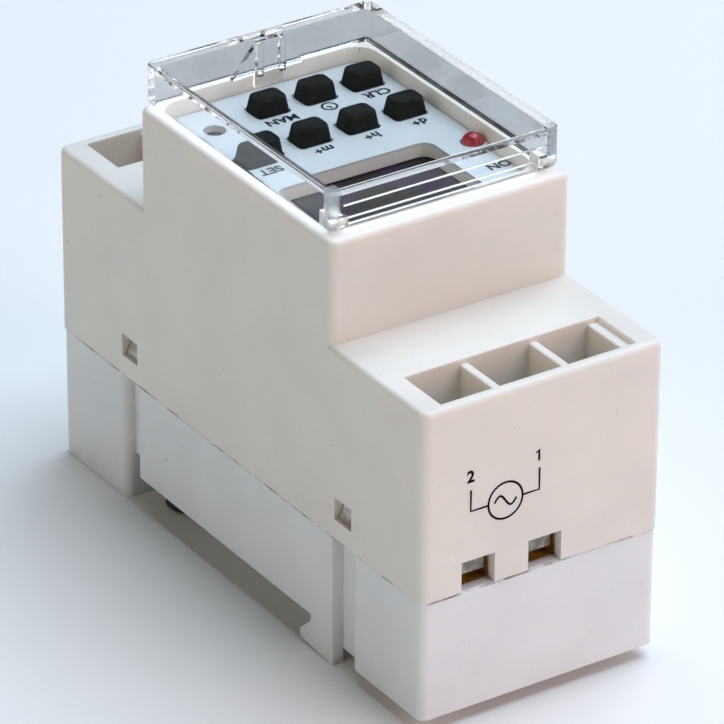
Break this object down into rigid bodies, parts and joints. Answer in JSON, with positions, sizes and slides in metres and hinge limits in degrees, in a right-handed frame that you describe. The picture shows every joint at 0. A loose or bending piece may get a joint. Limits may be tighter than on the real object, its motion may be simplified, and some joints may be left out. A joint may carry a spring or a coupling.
{
  "type": "din rail timer",
  "caption": "Two-module rail-mounted time switch with a clear hinged lid over a keypad and display, and screw terminals at both ends.",
  "frame": {"origin": "under the middle of the case, level with the lowest point of its back; the rail's centre line passes over it along X", "axes": "+Z away from the rail towards the front panel, +Y along the length towards the relay terminals, +X across the width"},
  "size_m": [0.036, 0.0864, 0.0664],
  "materials": {
    "case_white": "fine matte moulded",
    "label_blue": "printed polyester film",
    "clear_lid": "clear polycarbonate",
    "black_plastic": "black nylon",
    "spring_steel": "bright spring steel",
    "key_rubber": "matte silicone rubber",
    "grey_silicone": "translucent silicone",
    "red_lens": "translucent red epoxy",
    "display_glass": "dark liquid-crystal glass",
    "board_green": "solder-masked glass epoxy",
    "chip_black": "moulded epoxy",
    "can_metal": "drawn can",
    "capacitor_yellow": "boxed film capacitor",
    "varistor_blue": "dipped epoxy",
    "resistor_grey": "flameproof coating",
    "can_sleeve": "shrink sleeve",
    "battery_green": "shrink sleeve",
    "relay_blue": "moulded relay case",
    "copper_winding": "enamelled copper wire",
    "iron": "nickel-plated soft iron",
    "brass": "drawn brass, slightly tarnished",
    "zinc_plate": "zinc-plated steel",
    "screw_steel": "zinc-plated steel"
  },
  "bodies": {
    "housing": {"backup_battery": "battery_green", "base": "case_white", "cover": "case_white", "display_board": "board_green", "dropper_capacitor": "capacitor_yellow", "filter_capacitors": "can_sleeve", "front_label": "label_blue", "fuse_resistor": "resistor_grey", "key_contacts": "spring_steel", "keypad_mat": "grey_silicone", "latch_spring": "spring_steel", "lcd_frame": "black_plastic", "lcd_glass": "display_glass", "link_board": "board_green", "main_board": "board_green", "microcontroller": "chip_black", "quartz_crystal": "can_metal", "rectifier_diodes": "chip_black", "relay_base": "relay_blue", "relay_case": "relay_blue", "relay_coil": "copper_winding", "relay_contacts": "brass", "relay_yoke": "iron", "status_led": "red_lens", "terminal_block_1": "brass", "terminal_block_2": "brass", "terminal_block_3": "brass", "terminal_block_4": "brass", "terminal_block_5": "brass", "varistor": "varistor_blue", "zebra_strips": "grey_silicone"},
    "lid": {"lid": "clear_lid"},
    "rail_latch": {"rail_latch": "black_plastic"},
    "reset_button": {"reset_button": "key_rubber"},
    "relay_armature": {"relay_armature": "iron"},
    "key_1": {"key_1": "key_rubber"},
    "key_2": {"key_2": "key_rubber"},
    "key_3": {"key_3": "key_rubber"},
    "key_4": {"key_4": "key_rubber"},
    "key_5": {"key_5": "key_rubber"},
    "key_6": {"key_6": "key_rubber"},
    "key_7": {"key_7": "key_rubber"},
    "clamp_plate_1": {"clamp_plate_1": "zinc_plate"},
    "terminal_screw_1": {"terminal_screw_1": "screw_steel"},
    "clamp_plate_2": {"clamp_plate_2": "zinc_plate"},
    "terminal_screw_2": {"terminal_screw_2": "screw_steel"},
    "clamp_plate_3": {"clamp_plate_3": "zinc_plate"},
    "terminal_screw_3": {"terminal_screw_3": "screw_steel"},
    "clamp_plate_4": {"clamp_plate_4": "zinc_plate"},
    "terminal_screw_4": {"terminal_screw_4": "screw_steel"},
    "clamp_plate_5": {"clamp_plate_5": "zinc_plate"},
    "terminal_screw_5": {"terminal_screw_5": "screw_steel"}
  },
  "joints": [
    {"name": "lid_hinge", "type": "hinge", "parent": "housing", "child": "lid", "pos_m": [0, -0.02, 0.0616], "axis": [1, 0, 0], "range_deg": [0, 90]},
    {"name": "rail_latch_slide", "type": "slide", "parent": "housing", "child": "rail_latch", "axis": [0, 1, 0], "range_m": [0, 0.003], "stiffness_N_per_m": 1200, "springref_m": -0.002, "deforming": ["latch_spring"]},
    {"name": "key_1_press", "type": "slide", "parent": "housing", "child": "key_1", "axis": [0, 0, -1], "range_m": [0, 0.0008], "stiffness_N_per_m": 1200, "springref_m": -0.0003},
    {"name": "key_2_press", "type": "slide", "parent": "housing", "child": "key_2", "axis": [0, 0, -1], "range_m": [0, 0.0008], "stiffness_N_per_m": 1200, "springref_m": -0.0003},
    {"name": "key_3_press", "type": "slide", "parent": "housing", "child": "key_3", "axis": [0, 0, -1], "range_m": [0, 0.0008], "stiffness_N_per_m": 1200, "springref_m": -0.0003},
    {"name": "key_4_press", "type": "slide", "parent": "housing", "child": "key_4", "axis": [0, 0, -1], "range_m": [0, 0.0008], "stiffness_N_per_m": 1200, "springref_m": -0.0003},
    {"name": "key_5_press", "type": "slide", "parent": "housing", "child": "key_5", "axis": [0, 0, -1], "range_m": [0, 0.0008], "stiffness_N_per_m": 1200, "springref_m": -0.0003},
    {"name": "key_6_press", "type": "slide", "parent": "housing", "child": "key_6", "axis": [0, 0, -1], "range_m": [0, 0.0008], "stiffness_N_per_m": 1200, "springref_m": -0.0003},
    {"name": "key_7_press", "type": "slide", "parent": "housing", "child": "key_7", "axis": [0, 0, -1], "range_m": [0, 0.0008], "stiffness_N_per_m": 1200, "springref_m": -0.0003},
    {"name": "reset_press", "type": "slide", "parent": "housing", "child": "reset_button", "axis": [0, 0, -1], "range_m": [0, 0.0007], "stiffness_N_per_m": 1200, "springref_m": -0.0003},
    {"name": "clamp_plate_1_slide", "type": "slide", "parent": "housing", "child": "clamp_plate_1", "axis": [0, 0, -1], "range_m": [-0.002, 0.0012]},
    {"name": "terminal_screw_1_turn", "type": "hinge", "parent": "clamp_plate_1", "child": "terminal_screw_1", "pos_m": [0.0004, -0.0377, 0.03], "axis": [0, 0, -1], "range_deg": [-1441, 865]},
    {"name": "clamp_plate_2_slide", "type": "slide", "parent": "housing", "child": "clamp_plate_2", "axis": [0, 0, -1], "range_m": [-0.002, 0.0012]},
    {"name": "terminal_screw_2_turn", "type": "hinge", "parent": "clamp_plate_2", "child": "terminal_screw_2", "pos_m": [-0.0096, -0.0377, 0.03], "axis": [0, 0, -1], "range_deg": [-1441, 865]},
    {"name": "clamp_plate_3_slide", "type": "slide", "parent": "housing", "child": "clamp_plate_3", "axis": [0, 0, -1], "range_m": [-0.002, 0.0012]},
    {"name": "terminal_screw_3_turn", "type": "hinge", "parent": "clamp_plate_3", "child": "terminal_screw_3", "pos_m": [-0.0096, 0.0377, 0.03], "axis": [0, 0, -1], "range_deg": [-1441, 865]},
    {"name": "clamp_plate_4_slide", "type": "slide", "parent": "housing", "child": "clamp_plate_4", "axis": [0, 0, -1], "range_m": [-0.002, 0.0012]},
    {"name": "terminal_screw_4_turn", "type": "hinge", "parent": "clamp_plate_4", "child": "terminal_screw_4", "pos_m": [0.0004, 0.0377, 0.03], "axis": [0, 0, -1], "range_deg": [-1441, 865]},
    {"name": "clamp_plate_5_slide", "type": "slide", "parent": "housing", "child": "clamp_plate_5", "axis": [0, 0, -1], "range_m": [-0.002, 0.0012]},
    {"name": "terminal_screw_5_turn", "type": "hinge", "parent": "clamp_plate_5", "child": "terminal_screw_5", "pos_m": [0.0104, 0.0377, 0.03], "axis": [0, 0, -1], "range_deg": [-1441, 865]},
    {"name": "relay_armature_rock", "type": "hinge", "parent": "housing", "child": "relay_armature", "pos_m": [-0.0075, 0.0089, 0.02942], "axis": [-1, 0, 0], "range_deg": [0, 3.5], "stiffness_Nm_per_rad": 0.01, "springref_deg": -5.73}
  ],
  "couplings": [
    {"joint": "terminal_screw_1_turn", "follows": "clamp_plate_1_slide", "rad_per_m": 12566},
    {"joint": "terminal_screw_2_turn", "follows": "clamp_plate_2_slide", "rad_per_m": 12566},
    {"joint": "terminal_screw_3_turn", "follows": "clamp_plate_3_slide", "rad_per_m": 12566},
    {"joint": "terminal_screw_4_turn", "follows": "clamp_plate_4_slide", "rad_per_m": 12566},
    {"joint": "terminal_screw_5_turn", "follows": "clamp_plate_5_slide", "rad_per_m": 12566}
  ]
}
